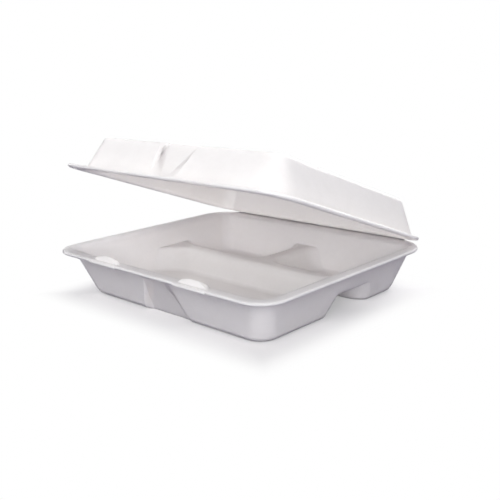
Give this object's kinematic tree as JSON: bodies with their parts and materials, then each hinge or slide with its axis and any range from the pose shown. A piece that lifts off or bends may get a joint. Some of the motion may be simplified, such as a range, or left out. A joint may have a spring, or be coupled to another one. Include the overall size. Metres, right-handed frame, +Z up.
{
  "type": "foam hinged lid container",
  "caption": "White foam takeaway container with a divided tray, a domed lid hinged along the back edge, and front tabs that snap into slots in the lid.",
  "frame": {"origin": "on the table, under the middle of the tray's rim", "axes": "+X to the right along the fold, +Y back toward the fold, +Z up"},
  "size_m": [0.203, 0.1755, 0.11],
  "materials": {
    "foam": "fine matte foam skin with a faint sheen"
  },
  "bodies": {
    "tray": {"tray": "foam"},
    "lid": {"lid": "foam"}
  },
  "joints": [
    {"name": "lid_hinge", "type": "hinge", "parent": "tray", "child": "lid", "pos_m": [0, 0.087, 0.03315], "axis": [-1, 0, 0], "range_deg": [-19.8, 160.2]}
  ]
}
